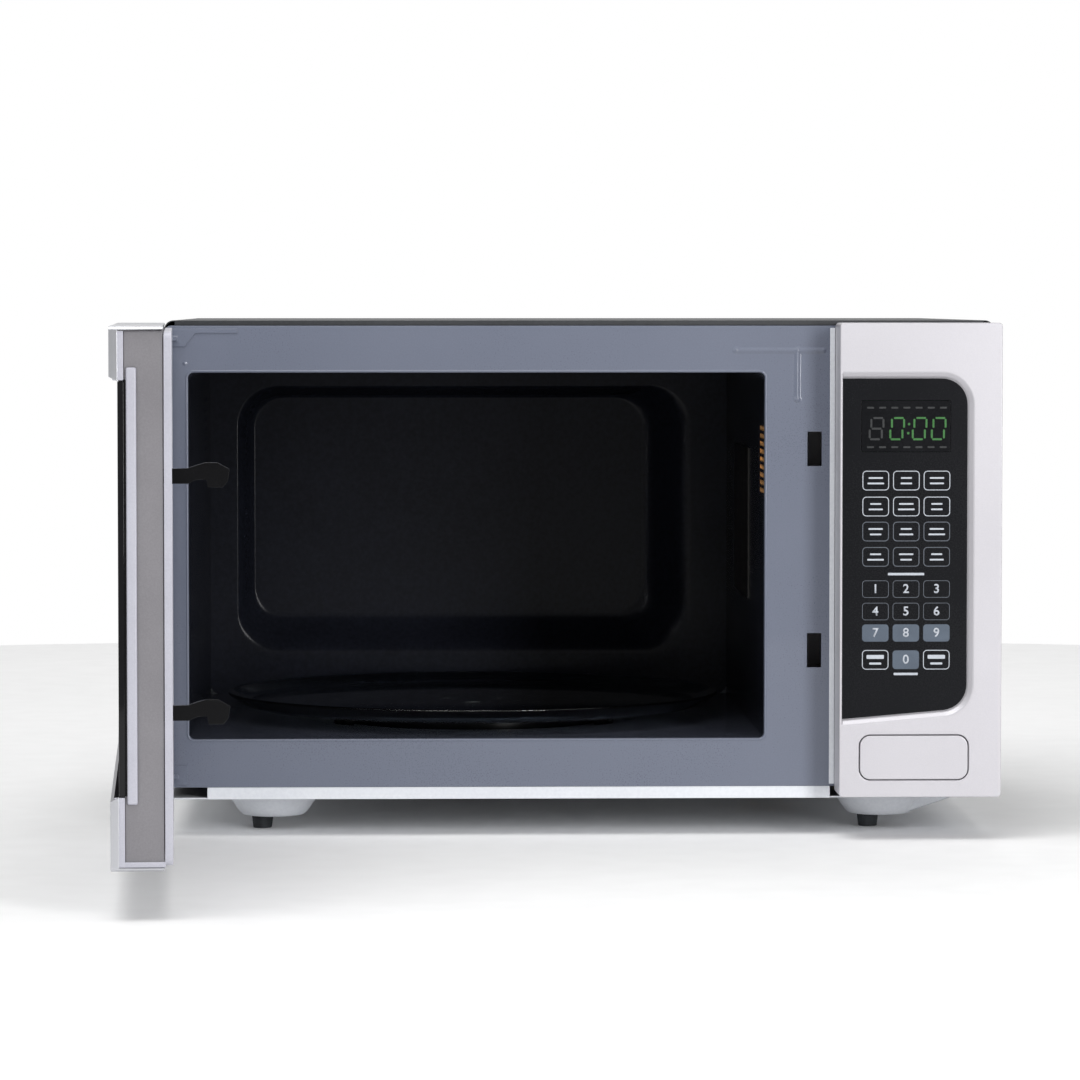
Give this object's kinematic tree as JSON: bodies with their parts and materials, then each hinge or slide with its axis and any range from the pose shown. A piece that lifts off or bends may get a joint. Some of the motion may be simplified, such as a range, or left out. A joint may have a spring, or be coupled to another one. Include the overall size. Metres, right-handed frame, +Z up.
{
  "type": "microwave oven",
  "caption": "Countertop microwave oven with a side-hung glass door standing open, a turntable in a dark enamel cavity, a keypad panel and a push button door latch.",
  "frame": {"origin": "on the surface the feet stand on, below the centre of the whole object's bounding box with the door open as it rests; the cabinet's own middle is at (0.015, 0.218, 0)", "axes": "+Z up, the front faces -Y, +X towards the control panel"},
  "size_m": [0.5831, 0.875, 0.3435],
  "materials": {
    "cover_paint": "satin black powder coat",
    "galvanised_steel": "galvanised sheet",
    "plate_paint": "slate enamel paint, satin",
    "cavity_enamel": "glossy charcoal enamel",
    "stainless": "brushed stainless sheet",
    "silver_moulding": "silver-painted ABS",
    "black_glass": "black printed glass",
    "tray_glass": "clear tempered glass",
    "clear_film": "clear polyester film",
    "smoked_window": "smoked acrylic",
    "key_sheet": "gloss black printed sheet",
    "light_moulding": "light grey moulding",
    "grey_moulding": "mid-grey moulding",
    "black_moulding": "black moulding",
    "fan_moulding": "dark grey nylon",
    "white_moulding": "white acetal",
    "rubber_black": "matt",
    "steel_zinc": "zinc plated",
    "door_steel": "painted steel pressing",
    "screen_black": "black perforated steel",
    "mica": "mica sheet",
    "lamp_glass": "lamp glass",
    "fins_aluminium": "pressed fins",
    "core_iron": "varnished laminations",
    "copper": "enamelled copper wire",
    "circuit_board": "green circuit board",
    "display_grey": "display block",
    "ceramic_white": "ceramic body"
  },
  "bodies": {
    "cabinet": {"cabinet_cover": "cover_paint", "rear_panel": "galvanised_steel", "base_plate": "galvanised_steel", "lamp_housing": "galvanised_steel", "waveguide": "galvanised_steel", "capacitor_clamp": "galvanised_steel", "air_duct": "galvanised_steel", "turntable_motor": "galvanised_steel", "magnetron_yoke": "galvanised_steel", "lamp_grille": "galvanised_steel", "front_plate": "plate_paint", "upper_hinge": "plate_paint", "lower_hinge": "plate_paint", "cavity_wrapper": "cavity_enamel", "cavity_floor": "cavity_enamel", "cavity_rear_wall": "cavity_enamel", "control_panel_housing": "silver_moulding", "display_window": "smoked_window", "keypad_overlay": "key_sheet", "latch_board": "grey_moulding", "fan_shroud": "black_moulding", "interlock_switches": "black_moulding", "feet": "rubber_black", "cord_gland": "rubber_black", "cover_screws": "steel_zinc", "button_spring": "steel_zinc", "magnetron_antenna": "steel_zinc", "waveguide_cover": "mica", "lamp_bulb": "lamp_glass", "magnetron_fins": "fins_aluminium", "capacitor": "fins_aluminium", "transformer_core": "core_iron", "fan_motor": "core_iron", "transformer_coils": "copper", "control_board": "circuit_board", "filter_board": "circuit_board", "display_module": "display_grey", "thermal_cutouts": "ceramic_white"},
    "door": {"door_bezel": "stainless", "door_glass": "black_glass", "door_mid_frame": "grey_moulding", "door_inner_panel": "door_steel", "door_screen": "screen_black", "door_film": "clear_film", "door_choke_cover": "light_moulding", "door_hinge_ears": "grey_moulding", "latch_spring": "steel_zinc"},
    "door_latch": {"latch_hooks": "black_moulding"},
    "release_button": {"release_button": "silver_moulding"},
    "release_lever": {"release_lever": "white_moulding"},
    "turntable_drive": {"turntable_shaft": "steel_zinc", "turntable_coupler": "black_moulding"},
    "glass_tray": {"glass_tray": "tray_glass"},
    "roller_ring": {"roller_ring": "black_moulding"},
    "roller_1": {"roller_1": "black_moulding"},
    "roller_2": {"roller_2": "black_moulding"},
    "roller_3": {"roller_3": "black_moulding"},
    "cooling_fan": {"fan_blades": "fan_moulding"}
  },
  "joints": [
    {"name": "door_hinge", "type": "hinge", "parent": "cabinet", "child": "door", "pos_m": [-0.258, 0.004, 0.185], "axis": [0, 0, 1], "range_deg": [-6.6, 87.4]},
    {"name": "latch_slide", "type": "slide", "parent": "door", "child": "door_latch", "axis": [0, 0, 1], "range_m": [0, 0.0045], "stiffness_N_per_m": 300, "springref_m": -0.004, "deforming": ["latch_spring"]},
    {"name": "release_button_slide", "type": "slide", "parent": "cabinet", "child": "release_button", "axis": [0, 1, 0], "range_m": [0, 0.006], "stiffness_N_per_m": 400, "springref_m": -0.004, "deforming": ["button_spring"]},
    {"name": "release_lever_pivot", "type": "hinge", "parent": "cabinet", "child": "release_lever", "pos_m": [0.205, 0.02, 0.086], "axis": [1, 0, 0], "range_deg": [0, 12.7]},
    {"name": "turntable_spin", "type": "hinge", "parent": "cabinet", "child": "turntable_drive", "pos_m": [-0.0535, 0.198, 0.06], "axis": [0, 0, 1], "continuous": true},
    {"name": "tray_lift", "type": "slide", "parent": "turntable_drive", "child": "glass_tray", "axis": [0, 0, 1], "range_m": [0, 0.03]},
    {"name": "roller_ring_spin", "type": "hinge", "parent": "cabinet", "child": "roller_ring", "pos_m": [-0.0535, 0.198, 0.0656], "axis": [0, 0, 1], "continuous": true},
    {"name": "roller_1_spin", "type": "hinge", "parent": "roller_ring", "child": "roller_1", "pos_m": [-0.0535, 0.301, 0.0656], "axis": [0, 1, 0], "continuous": true},
    {"name": "roller_2_spin", "type": "hinge", "parent": "roller_ring", "child": "roller_2", "pos_m": [-0.1427, 0.1465, 0.0656], "axis": [-0.866, -0.5, 0], "continuous": true},
    {"name": "roller_3_spin", "type": "hinge", "parent": "roller_ring", "child": "roller_3", "pos_m": [0.0357, 0.1465, 0.0656], "axis": [0.866, -0.5, 0], "continuous": true},
    {"name": "fan_spin", "type": "hinge", "parent": "cabinet", "child": "cooling_fan", "pos_m": [0.22, 0.388, 0.205], "axis": [0, 1, 0], "continuous": true}
  ],
  "couplings": [
    {"joint": "release_lever_pivot", "follows": "release_button_slide", "rad_per_m": 36.6},
    {"joint": "roller_ring_spin", "follows": "turntable_spin", "ratio": 0.5},
    {"joint": "roller_1_spin", "follows": "turntable_spin", "ratio": -7.9231},
    {"joint": "roller_2_spin", "follows": "turntable_spin", "ratio": -7.9231},
    {"joint": "roller_3_spin", "follows": "turntable_spin", "ratio": -7.9231}
  ]
}
